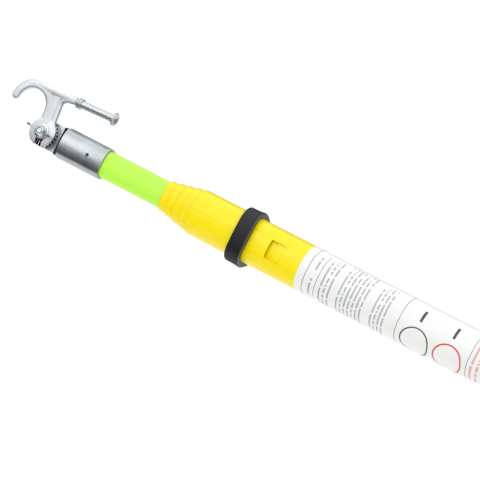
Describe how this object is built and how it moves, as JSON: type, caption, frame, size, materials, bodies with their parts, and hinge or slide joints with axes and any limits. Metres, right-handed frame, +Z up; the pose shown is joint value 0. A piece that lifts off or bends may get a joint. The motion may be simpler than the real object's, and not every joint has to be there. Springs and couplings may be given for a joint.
{
  "type": "telescopic insulating rod with hook head",
  "caption": "Telescopic rounded-triangle insulating rod, collapsed, with spring lock buttons, rubber guard ring, toothed end fitting and a cast hook head with a prong.",
  "frame": {"origin": "centre of the butt cap's flat end face, on the rod's axis", "axes": "X along the rod with the head towards -X and the butt face looking along +X; Z up, one flat of the tube down"},
  "size_m": [1.7746, 0.077, 0.0967],
  "materials": {
    "yellow_frp": "gloss",
    "green_frp": "gloss",
    "foam": "matte",
    "black_nylon": "satin",
    "black_rubber": "matte",
    "label_film": "satin",
    "cast_aluminium": "satin",
    "steel": "satin"
  },
  "bodies": {
    "section_6": {"base_tube": "yellow_frp", "butt_cap": "black_rubber", "wrap_label": "label_film"},
    "guard": {"guard_ring": "black_rubber"},
    "section_5": {"section_5_tube": "yellow_frp", "section_5_plug": "black_nylon", "button_spring_5": "steel"},
    "section_4": {"section_4_tube": "yellow_frp", "section_4_plug": "black_nylon", "button_spring_4": "steel"},
    "section_3": {"section_3_tube": "yellow_frp", "section_3_plug": "black_nylon", "button_spring_3": "steel"},
    "section_2": {"section_2_tube": "yellow_frp", "section_2_plug": "black_nylon", "button_spring_2": "steel"},
    "section_1": {"tip_tube": "green_frp", "tip_core": "foam", "section_1_plug": "black_nylon", "button_spring_1": "steel", "socket_fitting": "cast_aluminium", "socket_pin": "steel", "clamp_bolt": "steel"},
    "button_5": {"lock_button_5": "black_nylon"},
    "button_4": {"lock_button_4": "black_nylon"},
    "button_3": {"lock_button_3": "black_nylon"},
    "button_2": {"lock_button_2": "black_nylon"},
    "button_1": {"lock_button_1": "black_nylon"},
    "head": {"hook_casting": "cast_aluminium", "prong": "cast_aluminium"},
    "washer": {"flat_washer": "steel"},
    "nut": {"wing_nut": "steel"}
  },
  "joints": [
    {"name": "guard_ring_slide", "type": "slide", "parent": "section_6", "child": "guard", "axis": [1, 0, 0], "range_m": [-0.071, 0.077]},
    {"name": "section_5_slide", "type": "slide", "parent": "section_6", "child": "section_5", "axis": [-1, 0, 0], "range_m": [0, 1.2498]},
    {"name": "section_4_slide", "type": "slide", "parent": "section_5", "child": "section_4", "axis": [-1, 0, 0], "range_m": [0, 1.2002]},
    {"name": "section_3_slide", "type": "slide", "parent": "section_4", "child": "section_3", "axis": [-1, 0, 0], "range_m": [0, 1.1506]},
    {"name": "section_2_slide", "type": "slide", "parent": "section_3", "child": "section_2", "axis": [-1, 0, 0], "range_m": [0, 1.101]},
    {"name": "section_1_slide", "type": "slide", "parent": "section_2", "child": "section_1", "axis": [-1, 0, 0], "range_m": [0, 1.0514]},
    {"name": "lock_button_5_press", "type": "slide", "parent": "section_5", "child": "button_5", "axis": [0, -0.866, 0.5], "range_m": [-0.003, 0], "stiffness_N_per_m": 800, "springref_m": 0.006, "deforming": ["button_spring_5"]},
    {"name": "lock_button_4_press", "type": "slide", "parent": "section_4", "child": "button_4", "axis": [0, -0.866, 0.5], "range_m": [-0.003, 0], "stiffness_N_per_m": 800, "springref_m": 0.006, "deforming": ["button_spring_4"]},
    {"name": "lock_button_3_press", "type": "slide", "parent": "section_3", "child": "button_3", "axis": [0, -0.866, 0.5], "range_m": [-0.003, 0], "stiffness_N_per_m": 800, "springref_m": 0.006, "deforming": ["button_spring_3"]},
    {"name": "lock_button_2_press", "type": "slide", "parent": "section_2", "child": "button_2", "axis": [0, -0.866, 0.5], "range_m": [-0.003, 0], "stiffness_N_per_m": 800, "springref_m": 0.006, "deforming": ["button_spring_2"]},
    {"name": "lock_button_1_press", "type": "slide", "parent": "section_1", "child": "button_1", "axis": [0, -0.866, 0.5], "range_m": [-0.003, 0], "stiffness_N_per_m": 800, "springref_m": 0.006, "deforming": ["button_spring_1"]},
    {"name": "head_hinge", "type": "hinge", "parent": "section_1", "child": "head", "pos_m": [-1.7085, 0, 0], "axis": [0, -0.866, 0.5], "range_deg": [-12, 120]},
    {"name": "washer_lift", "type": "slide", "parent": "section_1", "child": "washer", "axis": [0, -0.866, 0.5], "range_m": [0, 0.0038]},
    {"name": "wing_nut_turn", "type": "hinge", "parent": "washer", "child": "nut", "pos_m": [-1.7085, 0, 0], "axis": [0, -0.866, 0.5], "range_deg": [0, 1080]}
  ],
  "couplings": [
    {"joint": "washer_lift", "follows": "wing_nut_turn", "m_per_rad": 0.00019894}
  ]
}
